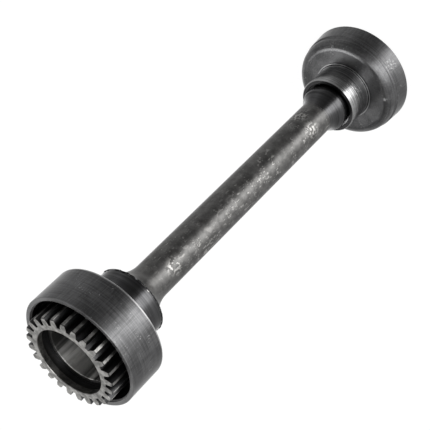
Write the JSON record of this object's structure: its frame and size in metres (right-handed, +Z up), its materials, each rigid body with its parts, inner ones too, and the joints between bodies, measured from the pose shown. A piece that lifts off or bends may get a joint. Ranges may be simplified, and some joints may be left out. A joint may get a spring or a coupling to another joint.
{
  "type": "splined shaft",
  "caption": "Flared drive shaft with a drum coupling on each end and a straight-toothed ring inside each drum.",
  "frame": {"origin": "centre of the far drum's open rim, which the part stands on", "axes": "+Z up along the shaft's axis, towards the end whose toothed ring stands proud"},
  "size_m": [0.1, 0.1, 0.4122],
  "materials": {
    "forged_shaft": "dark oiled forging skin, scuffed",
    "drum_steel": "satin black oxide",
    "tooth_steel": "machined steel, lightly oiled",
    "turned_steel": "glossy turned black oxide",
    "spring_steel": "blued spring steel"
  },
  "bodies": {
    "root": {"shaft": "forged_shaft", "near_drum": "drum_steel", "near_toothed_ring": "tooth_steel", "far_sleeve": "turned_steel", "far_drum": "drum_steel", "far_toothed_ring": "tooth_steel", "retaining_clip": "spring_steel"}
  },
  "joints": []
}
